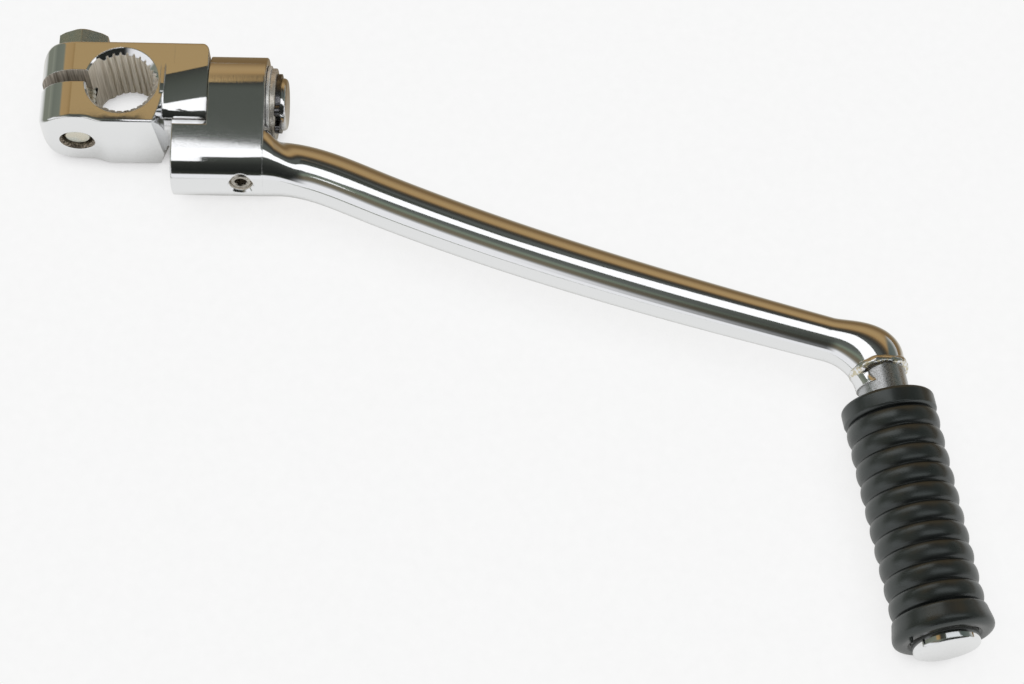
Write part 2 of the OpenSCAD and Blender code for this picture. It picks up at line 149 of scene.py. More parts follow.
mat, tree = new_material("matt_white_paper")
blend = {"data_type": "RGBA"}
multiply = {"data_type": "RGBA", "blend_type": "MULTIPLY"}
ray = add(tree, "ShaderNodeLightPath")
where = add(tree, "ShaderNodeNewGeometry")
place = add(tree, "ShaderNodeSeparateXYZ", Vector=where.outputs["Position"])
# Uncoated paper: the faint mottle of its pulp is about 3 mm across. A painted
# shadow, from ambient occlusion, darkens it only within a few millimetres of
# where the lever stands.
pulp = add(tree, "ShaderNodeTexNoise", Vector=where.outputs["Position"], Scale=330.0, Detail=3.0)
fibre = add(tree, "ShaderNodeMix", blend, i0=pulp, i6=linear("#fbfbfb"), i7=linear("#ffffff"))
# Painted shadow: ambient occlusion darkens the paper close to the lever.
touch = add(tree, "ShaderNodeAmbientOcclusion", {"samples": 6}, Distance=0.005)
near_painted_shadow = add(tree, "ShaderNodeValToRGB", {"stops": (
    (0.0, "#8c8a88"), (0.5, "#e9e9ea"), (0.8, "#ffffff"))}, Fac=touch.outputs["AO"])
# A wider, fainter painted shadow from occlusion further out.
wide = add(tree, "ShaderNodeAmbientOcclusion", {"samples": 4}, Distance=0.014)
wide_painted_shadow = add(tree, "ShaderNodeValToRGB", {"stops": (
    (0.0, "#e8e7e6"), (0.6, "#fbfbfb"), (1.0, "#ffffff"))}, Fac=wide.outputs["AO"])
shadow = add(tree, "ShaderNodeMix", multiply, i0=1.0, i6=near_painted_shadow, i7=wide_painted_shadow)
shadow = add(tree, "ShaderNodeMix", multiply, i0=1.0, i6=shadow, i7=fibre)
# The camera sees the white studio through the paper, tinted only by the
# painted shadow and the pulp, so that the arm still shows where it is open
# and hangs below.
seen = add(tree, "ShaderNodeBsdfTransparent", Color=shadow)
lit = add(tree, "ShaderNodeBsdfDiffuse", Color=linear("#f8f8f8"))
mixed = add(tree, "ShaderNodeMixShader", i0=ray.outputs["Is Camera Ray"], i1=lit, i2=seen)
# To the plate the paper glows with a painted reflection: white paper before
# the lever, the tan table beyond it and a grey green one past the clamp's
# end, all darkened by painted shade under the lever itself.
behind = add(tree, "ShaderNodeMath", {"operation": "MULTIPLY_ADD"},
             i0=place.outputs["X"], i1=0.31, i2=place.outputs["Y"])
behind = add(tree, "ShaderNodeMapRange", Value=behind, From_Min=0.0, From_Max=0.1)
beside = add(tree, "ShaderNodeMapRange", Value=place.outputs["X"], From_Min=-0.045, From_Max=-0.02)
behind = add(tree, "ShaderNodeMath", {"operation": "MULTIPLY"}, i0=behind, i1=beside)
table = add(tree, "ShaderNodeValToRGB", {"stops": (
    (0.0, "#f0f0ee"), (0.1, "#c9c4b8"), (0.24, "#958874"), (0.45, "#7e6a4c"), (1.0, "#7c6545"))},
    Fac=behind)
aside = add(tree, "ShaderNodeMapRange", Value=place.outputs["X"], From_Min=-0.035, From_Max=-0.065)
table = add(tree, "ShaderNodeMix", blend, i0=aside, i6=table, i7=linear("#7e8275"))
# Painted shade: the reflected paper darkens where the lever stands close over it.
reflected_painted_shade = add(tree, "ShaderNodeValToRGB", {"stops": (
    (0.0, "#4a4844"), (0.35, "#96948f"), (0.6, "#f0f0f0"), (0.8, "#ffffff"))},
    Fac=wide.outputs["AO"])
table = add(tree, "ShaderNodeMix", multiply, i0=1.0, i6=table, i7=reflected_painted_shade)
painted_reflection = add(tree, "ShaderNodeEmission", Color=table, Strength=1.0)
mixed = add(tree, "ShaderNodeMixShader", i0=ray.outputs["Is Glossy Ray"], i1=mixed, i2=painted_reflection)
add(tree, "ShaderNodeOutputMaterial", Surface=mixed)
coat(paper, mat)

# Mirrored in the plate, the tan card and the white strip are the shapes that
# lie along boss, hub and bar, and the lamp gives those down the peg.
card("tan_card", 250, [(-82, 112), (2, 112), (2, 168), (-82, 168)], "#ad9367", 1.0)
card("window_strip", 100, [
    (-12, -84), (9, -84), (11, -54), (22, -54), (34, -46), (86, -56), (141, -72),
    (200, -80), (200, -16), (154, -17), (95, -23), (44, -6), (30, -4.5), (-12, -2)],
    "#ffffff", 1.2)
card("peg_lamp", 100, [(198, -150), (310, -140), (310, -96), (198, -110)], "#e6e9ea", 1.0)

world = bpy.data.worlds.new("studio")
bpy.context.scene.world = world
world.use_nodes = True
tree = world.node_tree
tree.nodes.clear()
ray = add(tree, "ShaderNodeLightPath")
way = add(tree, "ShaderNodeTexCoord")
part = add(tree, "ShaderNodeSeparateXYZ", Vector=way.outputs["Generated"])
# The height of the sky runs from 0 straight down to 1 straight up, so that
# the stops below are half of one plus the sine of the elevation. All sides
# meet in one grey green overhead.
height = add(tree, "ShaderNodeMapRange", Value=part.outputs["Z"], From_Min=-1.0, From_Max=1.0)
overhead = (1.0, "#565a54")
rear = add(tree, "ShaderNodeValToRGB", {"stops": (
    (0.30, "#7e6a4c"), (0.52, "#8b7250"), (0.63, "#a78c62"), (0.71, "#b09468"), (0.79, "#a88a5e"),
    (0.83, "#7b6446"), (0.86, "#504737"), (0.90, "#3b3a36"), (0.95, "#585c58"), overhead)},
    Fac=height)
rear_left = add(tree, "ShaderNodeValToRGB", {"stops": (
    (0.30, "#7e6a4c"), (0.52, "#8b7250"), (0.63, "#a78c62"), (0.75, "#b09468"), (0.90, "#a88c60"),
    (0.928, "#94794f"), (0.938, "#403d35"), (0.955, "#3a3b37"), (0.98, "#4c5049"), overhead)},
    Fac=height)
front = add(tree, "ShaderNodeValToRGB", {"stops": (
    (0.0, "#f4f4f4"), (0.71, "#f4f4f5"), (0.76, "#a0a09c"), (0.80, "#77705f"), (0.86, "#6e6858"),
    (0.91, "#7b8676"), (0.95, "#60645f"), overhead)}, Fac=height)
front_left = add(tree, "ShaderNodeValToRGB", {"stops": (
    (0.0, "#f4f4f4"), (0.605, "#f4f4f5"), (0.625, "#33362f"), (0.72, "#222422"),
    (0.86, "#2e302d"), (0.93, "#3e403c"), overhead)}, Fac=height)
flank = add(tree, "ShaderNodeValToRGB", {"stops": (
    (0.0, "#e4e4e0"), (0.40, "#c8cac2"), (0.5, "#8a8e80"), (0.62, "#70756a"), (0.90, "#7c8174"),
    overhead)}, Fac=height)
right = add(tree, "ShaderNodeValToRGB", {"stops": (
    (0.0, "#e8e8e6"), (0.5, "#c8c8c4"), (0.62, "#6c726c"), (0.8, "#56605c"), overhead)},
    Fac=height)
# Each side passes into the next over a few degrees of the way round.
eased = {"interpolation_type": "SMOOTHSTEP"}
ratio = add(tree, "ShaderNodeMath", {"operation": "DIVIDE"},
            i0=part.outputs["X"], i1=part.outputs["Y"])
turn_rear = add(tree, "ShaderNodeMapRange", eased, Value=ratio, From_Min=-0.18, From_Max=-0.08)
turn_front = add(tree, "ShaderNodeMapRange", eased, Value=ratio, From_Min=0.16, From_Max=0.55)
to_rear, to_front, to_left, to_right = (
    add(tree, "ShaderNodeMapRange", eased, Value=part.outputs[axis], From_Min=none, From_Max=full)
    for axis, none, full in (
        ("Y", 0.0, 0.16), ("Y", 0.0, -0.16), ("X", -0.6, -0.68), ("X", 0.5, 0.62)))
rear_side = add(tree, "ShaderNodeMix", blend, i0=turn_rear, i6=rear_left, i7=rear)
rear_side = add(tree, "ShaderNodeMix", blend, i0=to_left, i6=rear_side, i7=flank)
rear_side = add(tree, "ShaderNodeMix", blend, i0=to_right, i6=rear_side, i7=right)
front_side = add(tree, "ShaderNodeMix", blend, i0=turn_front, i6=front_left, i7=front)
sky = add(tree, "ShaderNodeMix", blend, i0=to_rear, i6=flank, i7=rear_side)
sky = add(tree, "ShaderNodeMix", blend, i0=to_front, i6=sky, i7=front_side)
# Only the plate sees the sky. Dull surfaces are lit by plain white, and the
# camera sees the white of the studio.
plain = add(tree, "ShaderNodeBackground", Color=linear("#ffffff"), Strength=1.0)
seen = add(tree, "ShaderNodeBackground", Color=linear("#fafafa"), Strength=1.0)
mirror = add(tree, "ShaderNodeBackground", Color=sky, Strength=1.0)
light = add(tree, "ShaderNodeMixShader", i0=ray.outputs["Is Glossy Ray"], i1=plain, i2=mirror)
light = add(tree, "ShaderNodeMixShader", i0=ray.outputs["Is Camera Ray"], i1=light, i2=seen)
add(tree, "ShaderNodeOutputWorld", Surface=light)


# Clamp boss. One steel forging with the split clamp, the stop tongue, the
# journal that the arm turns on and the stub for the washers, polished and
# chrome plated outside. The broached bore and the sawn slit stay bare.
def loft(name, rings, wrap=False):
    """A closed mesh over rings of points in millimetres, each joined to the next."""
    n = len(rings[0])
    faces = []
    for i in range(len(rings) - (0 if wrap else 1)):
        a, b = i * n, (i + 1) % len(rings) * n
        faces += [(a + k, a + (k + 1) % n, b + (k + 1) % n, b + k) for k in range(n)]
    if not wrap:
        faces += [tuple(reversed(range(n))), tuple(range((len(rings) - 1) * n, len(rings) * n))]
    return mesh_object(name, [p for ring in rings for p in ring], faces)


def drawn(name, axis, ends, outline):
    """An outline drawn out along X or Z between two ends."""
    if axis == "X":
        return loft(name, [[(end, u, v) for u, v in outline] for end in ends])
    return loft(name, [[(u, v, end) for u, v in outline] for end in ends])


def full_turn(sides, start=0.0):
    """Angles in radians that share out a full turn."""
    return [start + 2 * math.pi * k / sides for k in range(sides)]


def turned(name, origin, axis, profile, sides=96, hollow=False, start=0.0):
    """A turned piece: profile points are (radius, distance along the axis)."""
    axis = Vector(axis).normalized()
    beside = Vector((0, 1, 0)) if abs(axis.z) > 0.9 else Vector((0, 0, 1))
    across = axis.cross(beside).normalized()
    other = axis.cross(across)
    rings = [[Vector(origin) + axis * along + (across * math.cos(a) + other * math.sin(a)) * radius
              for a in full_turn(sides, start)] for radius, along in profile]
    return loft(name, rings, wrap=hollow)


def carve(body, tool, way="DIFFERENCE"):
    """Cuts a tool from a body, or joins the two, and takes the tool away."""
    step = body.modifiers.new("step", "BOOLEAN")
    step.operation, step.solver, step.object = way, "EXACT", tool
    bpy.context.view_layer.update()
    made = bpy.data.meshes.new_from_object(
        body.evaluated_get(bpy.context.evaluated_depsgraph_get()))
    body.modifiers.clear()
    body.data = made
    bpy.data.objects.remove(tool)


def shade(obj, angle=28):
    """Smooth faces with sharp edges kept, and flat faces that stay flat beside round ones."""
    for poly in obj.data.polygons:
        poly.use_smooth = True
    obj.data.set_sharp_from_angle(angle=math.radians(angle))
    weigh = obj.modifiers.new("weigh", "WEIGHTED_NORMAL")
    weigh.keep_sharp = True


def polar(r, a):
    """A point at a radius and an angle in degrees."""
    a = math.radians(a)
    return r * math.cos(a), r * math.sin(a)


def arc(cx, cy, r, a0, a1, steps):
    """Points of an arc between two angles in degrees."""
    turn = [polar(r, a0 + (a1 - a0) * k / steps) for k in range(steps + 1)]
    return [(cx + x, cy + y) for x, y in turn]


# Sizes of the boss in millimetres from the middle of the bore, and the places
# of shoulder, tongue, hub, washers and stub along the pivot.
half, boss_rear, boss_front, ear_face, boss_end = 11.9, 11.8, 12.4, 11.2, 22.4
end_round, end_roll, long_edge = 4, 10, 0.8
shoulder, tongue_end, journal_r, stub_r, hub_end = 13.7, 22.8, 8.0, 7.0, 38.1
shim_x = hub_end + 0.05
washer_x = shim_x + 0.9
clip_x = washer_x + 1.5
stub_end = clip_x + 2.8
pivot, along_pivot = (0, 0, 0), (1, 0, 0)


def boss_front_at(x):
    """How far the peg side stands out: it steps back in an S along the ears."""
    t = min(1.0, max(0.0, (x + 10.0) / 6.0))
    return ear_face + (boss_front - ear_face) * (1 - math.cos(math.pi * t)) / 2


def boss_section(x):
    """Section of the boss across X, with its four long edges rounded."""
    rear, front, rise = boss_rear, boss_front_at(x), half
    if x < -boss_end + end_round:
        back = end_round - math.sqrt(max(0.0, end_round ** 2 - (-boss_end + end_round - x) ** 2))
        rear, front = rear - back, front - back
    if x < -boss_end + end_roll:
        rise += math.sqrt(max(0.0, end_roll ** 2 - (-boss_end + end_roll - x) ** 2)) - end_roll
    edge = min(long_edge, rise * 0.7)
    corners = ((rear, rise, 0), (-front, rise, 90), (-front, -rise, 180), (rear, -rise, 270))
    ring = []
    for y, z, a in corners:
        cy = y - math.copysign(edge, y)
        cz = z - math.copysign(edge, z)
        ring += [(x, v, w) for v, w in arc(cy, cz, edge, a, a + 90, 6)]
    return ring


stations = [-boss_end + end_round * (1 - math.cos(math.radians(a))) for a in range(0, 91, 6)]
stations += [-18.0 + 0.4 * k for k in range(15)] + [-12.0 + 0.5 * k for k in range(18)]
stations += [0.0, 4.0, 8.0, 13.2, shoulder]
boss = loft("boss_forging", [boss_section(x) for x in stations])

# The peg side is ground back to a cone beside the arm, with a slanted hollow.
cone_r, cone_x, cone_far_r, cone_slope, cone_end = 11.75, 11.4, 24, 0.485, 14.7
cone = turned("cone", pivot, along_pivot, [
    (cone_r, cone_x), (cone_far_r, cone_x - (cone_far_r - cone_r) * cone_slope),
    (cone_far_r, cone_end), (cone_r, cone_end)], sides=160, hollow=True)
carve(cone, drawn("keep", "X", (0, 40), [(-30, -30), (0, -30), (0, 30), (-30, 30)]), "INTERSECT")
carve(boss, cone)
hollow_r, hollow_off, hollow_rim, hollow_tilt = 5, 3.2, shoulder - 3.95, math.radians(-5)
middle = hollow_rim + math.sqrt(hollow_r ** 2 - hollow_off ** 2)
carve(boss, turned("hollow", (middle, -boss_front - hollow_off, 0),
                   (math.sin(hollow_tilt), 0, math.cos(hollow_tilt)),
                   [(hollow_r, -20), (hollow_r, 20)], sides=144))

# The stop tongue is square behind the pivot and rolled round it in front. It
# stands in the notch of the hub, and its two flanks stop the arm.
tongue_start, tongue_r, tongue_corner = shoulder - 3.4, 12.5, 2.7
flank_rear, flank_front = 22, 138
outline = [(boss_rear - 0.01, 0.0)] + arc(boss_rear - 0.81, half - 0.81, 0.8, 0, 90, 6)
outline += [(5.6, half - 0.01), (2.0, half + 0.3)]
outline += arc(0, 0, tongue_r, 93, flank_front, 15) + [(0.0, 0.0)]
tongue = drawn("tongue", "X", (tongue_start, tongue_end), outline)
outline = [(tongue_start - 1, -20), (tongue_end, -20)]
outline += arc(tongue_end - tongue_corner, boss_rear - tongue_corner, tongue_corner, 0, 90, 12)
outline += [(tongue_start - 1, boss_rear)]
carve(tongue, drawn("corner_block", "Z", (-1, 20), outline), "INTERSECT")
carve(tongue, drawn("wedge", "X", (tongue_start - 2, tongue_end + 2),
                    [(0, 0)] + [polar(25, a) for a in (flank_rear, 60, 100, flank_front)]),
      "INTERSECT")
carve(boss, tongue, "UNION")


def planed(s):
    """Fall of the tongue's ground face at a distance in front of its crease.

    It leans by 2 degrees at the crease and by 12.5 at 8.7 mm from it, and turns
    down faster from there.
    """
    fall, step = 0.0, s / 20
    for k in range(20):
        at = (k + 0.5) * step
        lean = 2 + 1.21 * at if at < 8.7 else 12.5 + 3.1 * (at - 8.7)
        fall += step * math.tan(math.radians(lean))
    return fall


rings = []
for x in (11.5, 24.0):
    crease = 2.5 + 3.0 * (x - 12) / 10.8
    face = [(crease - s, half - planed(s)) for s in [0.6 * k for k in range(26)]]
    face += [(face[-1][0], 20.0), (crease + 4.0, 20.0), (crease + 4.0, half + 0.002)]
    rings.append([(x, y, z) for y, z in face])
carve(boss, loft("planed_face", rings))

# Journal, stub with its circlip groove, and the rounded rim of the stub.
groove_r, rim_r = stub_r - 0.65, 1.1
profile = [
    (journal_r, shoulder - 1), (journal_r, hub_end - 0.3), (journal_r - 0.3, hub_end),
    (stub_r, hub_end), (stub_r, clip_x), (groove_r, clip_x), (groove_r, clip_x + 1.2),
    (stub_r, clip_x + 1.2)] + arc(stub_r - rim_r, stub_end - rim_r, rim_r, 0, 90, 8)
carve(boss, turned("stub", pivot, along_pivot, profile, sides=128), "UNION")

# Broached bore with 30 serrations and a plain relief on the split side, and a
# chamfer at both mouths. The corners are (angle in radians, radius).
land_r, root_r, relief_r, relief_half, teeth = 8.35, 8.35 + 0.55, 9.4, 46, 30
tooth_turn = 360 / teeth
relief_from, relief_to = 180 - relief_half, 180 + relief_half
bore = []
for k in range(teeth):
    a = tooth_turn * k
    if abs((a + 180) % 360 - 180) > relief_from - tooth_turn / 2:
        continue
    for r, w in ((land_r, -0.36), (root_r, -0.14), (root_r, 0.14), (land_r, 0.36)):
        bore.append((math.radians(a) + w / r, r))
    for step in (0.3, 0.5, 0.7):
        bore.append((math.radians(a + tooth_turn * step), land_r))
bore = [(a, r) for a, r in bore
        if not math.radians(relief_from) < a % (2 * math.pi) < math.radians(relief_to)]
bore += [(math.radians(relief_from + 2 * relief_half * k / 30), relief_r) for k in range(31)]


def way_round(spot):
    """Order of the bore's corners, which keeps the two steps of the relief square."""
    a = spot[0] % (2 * math.pi)
    return a, spot[1] if a < math.pi else -spot[1]


bore.sort(key=way_round)
through = (-half - 1, half + 1)
carve(boss, drawn("bore", "Z", through, [(r * math.cos(a), r * math.sin(a)) for a, r in bore]))
for way in (1, -1):
    carve(boss, turned("mouth", (0, 0, 0), (0, 0, way),
                       [(relief_r - 1.03, half - 1.53), (relief_r + 1.47, half + 0.97)],
                       sides=119, start=0.013))

# The sawn split, and the hole for the pinch bolt: clear in the rear ear, and
# tapped in the front one, where its mouth is chamfered.
slit_front, slit_rear, slit_stop = -0.5, 2.9, -6.6
carve(boss, drawn("slit", "Z", through, [
    (-boss_end - 1, slit_front), (slit_stop, slit_front),
    (slit_stop, slit_rear), (-boss_end - 1, slit_rear)]))
bolt_x, bolt_z, clear_r, tapped_r, mouth_r = -12.5, -1.4, 4.3, 4.05, 4.75
carve(boss, turned("bolt_hole", (bolt_x, 0, bolt_z), (0, -1, 0), [
    (clear_r, -14), (clear_r, 0), (tapped_r, 0), (tapped_r, ear_face - 0.7),
    (mouth_r, ear_face), (mouth_r, 14)], sides=72))

# The track that the detent ball runs in round the journal, with two pockets
# that hold the ball where the arm is folded and where it is open.
detent_x, detent_lean = 32.3, 7
track_mid_r, track_r, pocket_mid_r, pocket_r = 10.45, 3.05, 9.85, 3.06
carve(boss, turned("ball_track", (detent_x, 0, 0), along_pivot,
                   arc(track_mid_r, 0, track_r, 0, 350, 35), hollow=True))
for deg in (180 - detent_lean, 270 - detent_lean):
    carve(boss, turned("pocket", (detent_x, *polar(pocket_mid_r, deg)), along_pivot,
                       arc(0, 0, pocket_r, -84, 84, 14), sides=48, start=0.02))
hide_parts("clamp_boss")
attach(boss, "boss")


def plated(name, dull=0.05, rounding=0.0004, scratch=0.0, lean=(0, 0, 0), tint="#ecedef"):
    """Bright chrome plate: a bluish white mirror with a trace of polishing marks."""
    mat, tree = new_material(name)
    spot = add(tree, "ShaderNodeTexCoord").outputs["Object"]
    # Marks of the polishing mop are 0.15 mm apart, drawn at 0.4 mm so that they
    # show. The mop also leaves swells some 5 mm across.
    marks = add(tree, "ShaderNodeTexNoise", Vector=spot, Scale=1000 / 0.4, Detail=2.0)
    waves = add(tree, "ShaderNodeTexNoise", Vector=spot, Scale=220.0, Detail=2.0)
    rough = add(tree, "ShaderNodeMapRange", Value=marks, From_Min=0.3, From_Max=0.7,
                To_Min=dull * 0.7, To_Max=dull * 1.5)
    edge = add(tree, "ShaderNodeBevel", {"samples": 4}, Radius=rounding)
    skin = add(tree, "ShaderNodeBump", Height=waves, Strength=0.08, Distance=0.00004, Normal=edge)
    if scratch:
        # Grinding lines under the plate: 0.2 mm apart and many times longer.
        turn = add(tree, "ShaderNodeMapping", Vector=spot, Rotation=lean,
                   Scale=(1000 / 0.2, 260.0, 260.0))
        lines = add(tree, "ShaderNodeTexNoise", Vector=turn, Scale=1.0, Detail=3.0)
        skin = add(tree, "ShaderNodeBump", Height=lines, Strength=scratch, Distance=0.00002,
                   Normal=skin)
    # Painted shade: ambient occlusion darkens the plate's colour in its inner
    # corners and gaps.
    corner_painted_shade = add(tree, "ShaderNodeAmbientOcclusion", {"samples": 4}, Distance=0.003)
    tone = add(tree, "ShaderNodeValToRGB", {"stops": (
        (0.0, "#3c3833"), (0.4, "#97948f"), (0.75, tint))}, Fac=corner_painted_shade.outputs["AO"])
    metal = add(tree, "ShaderNodeBsdfPrincipled", Base_Color=tone, Metallic=1.0,
                Roughness=rough, Normal=skin)
    add(tree, "ShaderNodeOutputMaterial", Surface=metal)
    return mat


def bare(name, light_tone, dark_tone, rough, stretch, pitch, metallic=1.0):
    """Bare cut steel with tool lines; pitch is their spacing in millimetres."""
    mat, tree = new_material(name)
    spot = add(tree, "ShaderNodeTexCoord").outputs["Object"]
    pulled = add(tree, "ShaderNodeMapping", Vector=spot, Scale=[1000 / pitch * s for s in stretch])
    lines = add(tree, "ShaderNodeTexNoise", Vector=pulled, Scale=1.0, Detail=3.0)
    tone = add(tree, "ShaderNodeValToRGB", {"stops": (
        (0.35, dark_tone), (0.65, light_tone))}, Fac=lines)
    grain = add(tree, "ShaderNodeMapRange", Value=lines, From_Min=0.3, From_Max=0.7,
                To_Min=rough * 1.3, To_Max=rough * 0.7)
    relief = add(tree, "ShaderNodeBump", Height=lines, Strength=0.3, Distance=0.00003)
    metal = add(tree, "ShaderNodeBsdfPrincipled", Base_Color=tone, Metallic=metallic,
                Roughness=grain, Normal=relief)
    add(tree, "ShaderNodeOutputMaterial", Surface=metal)
    return mat


# The broach leaves pale, even lines along the bore, and the saw greyer ones.
# Their torn surface scatters light, so that both are less metallic than the
# plate and stay pale whatever they face. The thread hole is painted dark, as
# shade in its recess.
chrome = plated("chrome_plate")
broached = bare("broached_steel", "#f2ece0", "#cfc7b8", 0.4, (1, 1, 0.03), 0.4, 0.2)
sawn = bare("sawn_steel", "#d4ccc0", "#857d72", 0.5, (1, 1, 0.04), 0.5, 0.4)
# Painted shade: the thread hole's steel takes a dark tone for the shade in its recess.
tapped_shaded_steel = bare("tapped_steel", "#a89c8c", "#453f38", 0.42, (1, 1, 1), 0.5)
coat(boss, chrome, broached, sawn, tapped_shaded_steel)
for poly in boss.data.polygons:
    x, y, z = poly.center * 1000
    poly.material_index = 0
    if math.hypot(x, y) < relief_r + 0.02 and abs(poly.normal.z) < 0.3 and x < 9.5:
        poly.material_index = 1
    elif x < -7 and slit_front - 0.02 < y < slit_rear + 0.02 and abs(poly.normal.y) > 0.9:
        poly.material_index = 2
    elif (math.hypot(x - bolt_x, z - bolt_z) < mouth_r + 0.05 and abs(y) < ear_face + 0.1
          and abs(poly.normal.y) < 0.9):
        poly.material_index = 3
shade(boss)


# Pinch bolt. An M8 hexagon bolt of zinc plated steel that pulls the split
# together: a forged head with a turned crown, a rolled thread and a
# chamfered end that stops just inside the ear.
washer_thick, head_high, head_half = 1.8, 5.4, 6.5
crown, under_head = -washer_thick - head_high, -washer_thick
rings = []
for along, lip in ((crown, 0.3), (crown + 0.1, 0.55), (crown + 0.25, 0.8), (crown + 0.4, 2.0),
                   (under_head - 0.1, 2.0), (under_head, -0.2)):
    ring = []
    for deg in range(0, 360, 5):
        flat = head_half / math.cos(math.radians(deg % 60 - 30))
        u, v = polar(min(flat, head_half + lip), deg + 90)
        ring.append((bolt_x + u, boss_rear - along, bolt_z + v))
    rings.append(ring)
head = loft("pinch_bolt_m8", rings)
# The thread is one helix with a pitch of 1.25 mm. It runs out over 1 mm before
# the plain shank, and the end has a chamfer.
thread_r, thread_pitch, thread_deep, plain_long, end_chamfer = 3.97, 1.25, 0.62, 6, 0.8
bolt_long = boss_rear + ear_face - 1.1
levels, sides = int(bolt_long / thread_pitch * 12), 48
rings = []
for along in [under_head - 0.1] + [bolt_long * i / levels for i in range(levels + 1)]:
    ring = []
    for k, a in enumerate(full_turn(sides)):
        phase = (along / thread_pitch - k / sides) % 1.0
        depth = thread_deep * min(1.0, max(0.0, abs(phase - 0.5) * 2.3 - 0.1))
        depth *= min(1.0, max(0.0, along - plain_long))
        r = min(thread_r - depth, thread_r - max(0.0, along - (bolt_long - end_chamfer)))
        ring.append((bolt_x + r * math.cos(a), boss_rear - along, bolt_z + r * math.sin(a)))
    rings.append(ring)
carve(head, loft("thread", rings), "UNION")
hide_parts("pinch_bolt")
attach(head, "boss")

# Dull zinc: grey with a faint yellow and blue cloudiness some 4 mm across, and
# a grain of about 0.5 mm in its shine.
zinc, tree = new_material("zinc_plate")
spot = add(tree, "ShaderNodeTexCoord").outputs["Object"]
cloud = add(tree, "ShaderNodeTexNoise", Vector=spot, Scale=1000 / 4, Detail=4.0)
tone = add(tree, "ShaderNodeValToRGB", {"stops": ((0.35, "#d2d5cd"), (0.6, "#dcd7c8"))}, Fac=cloud)
fine = add(tree, "ShaderNodeTexNoise", Vector=spot, Scale=2200.0, Detail=3.0)
rough = add(tree, "ShaderNodeMapRange", Value=fine, From_Min=0.3, From_Max=0.7,
            To_Min=0.22, To_Max=0.4)
edge = add(tree, "ShaderNodeBevel", {"samples": 4}, Radius=0.0003)
metal = add(tree, "ShaderNodeBsdfPrincipled", Base_Color=tone, Metallic=1.0,
            Roughness=rough, Normal=edge)
add(tree, "ShaderNodeOutputMaterial", Surface=metal)
coat(head, zinc)
shade(head)


# Spring washer. A split ring of zinc plated spring steel under the bolt head.
# The boss hides it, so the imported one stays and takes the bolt's plate.
def dress(node, mat):
    """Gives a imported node's own object a material in all its slots."""
    for slot in bpy.data.objects[node].material_slots:
        slot.material = mat


dress("spring_washer", zinc)


# Kick arm. One steel forging: the hub with its lobe, the swept bar that thins
# towards the elbow, and the elbow that takes the peg. Polished and chrome
# plated; the hub's flat keeps the lines of the belt that ground it.
def smooth(t):
    """An S from 0 to 1, level at both ends."""
    return 0.0 if t <= 0 else 1.0 if t >= 1 else t * t * (3 - 2 * t)


hub_start, hub_r, lobe_r, lobe_drop = shoulder + 0.06, 12.4, 9.6, 16.8
bar_d, bar_end_d, elbow_fillet, bar_sides = 14.1, 11.6, 11.5, 96
elbow_slope, bend_slope = math.radians(15.3), math.radians(22.3)
peg_heading = math.radians(-79)
peg_u = Vector((math.cos(peg_heading), math.sin(peg_heading), 0))
corner = Vector((198.0, -69.1, 0))
fillet_mid = Vector((181.777, -82.598, 0))
bar_stop = Vector((186.342, -65.911, 0))
# The bar starts on the lobe's own circle, 0.03 mm inside it.
lobe_in_r = lobe_r - 0.03
blend_x, root_x, root_gain = hub_end - 0.6, hub_end + 2.8, lobe_in_r - bar_d / 2
bend_x, bend_y = hub_end + 32, -lobe_drop - 11.6


def cubic(t, y0, s0, y1, s1, span):
    """A curve between two heights with a slope at each."""
    return (y0 * (1 + 2 * t) * (1 - t) ** 2 + s0 * span * t * (1 - t) ** 2
            + y1 * t * t * (3 - 2 * t) - s1 * span * t * t * (1 - t))


def bar_line(x):
    """Distance of the bar's middle from the pivot line, in two sweeps."""
    if x < root_x:
        return -lobe_drop - root_gain
    if x < bend_x:
        return cubic((x - root_x) / (bend_x - root_x), -lobe_drop - root_gain, 0,
                     bend_y, -math.tan(bend_slope), bend_x - root_x)
    return cubic((x - bend_x) / (bar_stop.x - bend_x), bend_y, -math.tan(bend_slope),
                 bar_stop.y, -math.tan(elbow_slope), bar_stop.x - bend_x)


def oval_ring(mid, way, in_plane, across):
    """An oval across the bar at a heading, from its half sizes in the plane and across it."""
    return [(mid[0] - math.sin(way) * in_plane * math.cos(a),
             mid[1] + math.cos(way) * in_plane * math.cos(a),
             across * math.sin(a)) for a in full_turn(bar_sides)]


rings = []
bar_x = [hub_end - 12, hub_end - 4]
bar_x += [blend_x + (root_x - blend_x) * k / 16 for k in range(17)]
bar_x += [root_x + (bend_x - root_x) * k / 24 for k in range(1, 25)]
bar_x += [bend_x + (bar_stop.x - bend_x) * k / 44 for k in range(1, 45)]
thin_from = 7
for x in bar_x:
    way = 0.0
    if x >= root_x + 0.1:
        way = math.atan((bar_line(x + 0.05) - bar_line(x - 0.05)) / 0.1)
    thin = max(0.0, x - hub_end - thin_from) / (bar_stop.x - hub_end - thin_from)
    r = bar_d / 2 - (bar_d - bar_end_d) / 2 * thin ** 1.6
    # The bar leaves the lobe at once on the pivot side and slowly on the others.
    at_bar = oval_ring((x, bar_line(x)), way, r, r)
    at_hub = oval_ring((x, bar_line(x) + root_gain), way, lobe_in_r, lobe_in_r)
    ring = []
    for a, p, q in zip(full_turn(bar_sides), at_hub, at_bar):
        inner = 0.5 + 0.5 * math.cos(a)
        there = smooth((x - blend_x) / (16 - 12.6 * inner))
        ring.append([u * (1 - there) + v * there for u, v in zip(p, q)])
    rings.append(ring)
